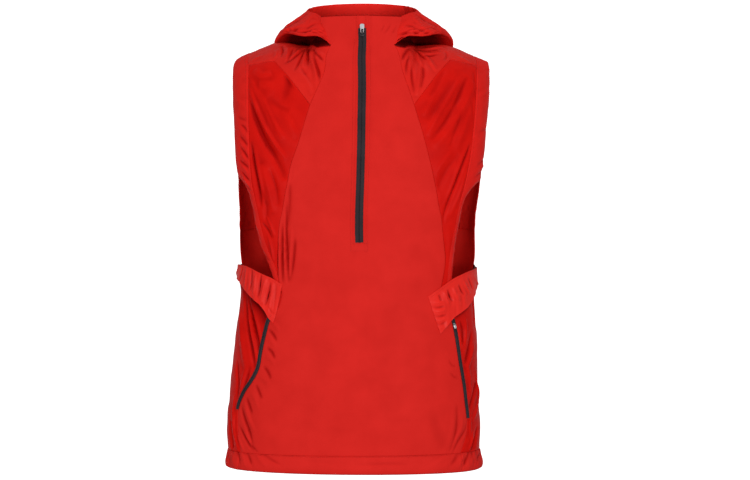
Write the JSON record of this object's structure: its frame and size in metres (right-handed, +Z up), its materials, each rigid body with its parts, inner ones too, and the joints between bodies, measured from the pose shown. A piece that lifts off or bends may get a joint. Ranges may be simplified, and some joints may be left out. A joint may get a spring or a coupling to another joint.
{
  "type": "hooded vest",
  "caption": "Sleeveless hooded pullover vest with a half zip, gathered armhole flaps, slanted zip pockets and an elasticated hem.",
  "frame": {"origin": "middle of the neck opening, level with the neck ends of the shoulder seams, where the wearer's shoulders hold the vest up", "axes": "+Z up; -Y is the front; +X is the picture's right, which is the wearer's left"},
  "size_m": [0.43, 0.2819, 0.7599],
  "materials": {
    "shell_cloth": "smooth matt plain-weave polyester, red",
    "thin_cloth": "thin crinkled polyester, darker red",
    "gathered_cloth": "light gathered polyester with a slight sheen, red",
    "zip_tape": "black woven tape over a reversed coil zip",
    "slider_metal": "dark die-cast metal",
    "pull_metal": "bright die-cast metal"
  },
  "bodies": {
    "vest": {"front_panel": "shell_cloth", "back_panel": "shell_cloth", "yoke_left": "gathered_cloth", "yoke_right": "gathered_cloth", "chest_left": "thin_cloth", "chest_right": "thin_cloth", "armband_front_left": "shell_cloth", "armband_front_right": "shell_cloth", "armband_back_left": "shell_cloth", "armband_back_right": "shell_cloth", "flap_left": "gathered_cloth", "flap_right": "gathered_cloth", "side_left": "thin_cloth", "side_right": "thin_cloth", "hem_front": "shell_cloth", "hem_back": "shell_cloth", "hem_side_left": "shell_cloth", "hem_side_right": "shell_cloth", "hood_left": "shell_cloth", "hood_right": "shell_cloth", "hood_hem": "shell_cloth", "front_zip": "zip_tape", "pocket_zip_left": "zip_tape", "pocket_zip_right": "zip_tape", "zip_slider": "slider_metal", "pocket_slider": "slider_metal"},
    "zip_pull": {"zip_pull": "pull_metal"},
    "pocket_pull": {"pocket_pull": "pull_metal"}
  },
  "joints": [
    {"name": "zip_pull_hinge", "type": "hinge", "parent": "vest", "child": "zip_pull", "pos_m": [0, -0.08124, 0.01069], "axis": [1, 0, 0], "range_deg": [0, 150]},
    {"name": "pocket_pull_hinge", "type": "hinge", "parent": "vest", "child": "pocket_pull", "pos_m": [0.14613, -0.08424, -0.44957], "axis": [-0.7973, -0.5584, -0.2293], "range_deg": [0, 110]}
  ]
}
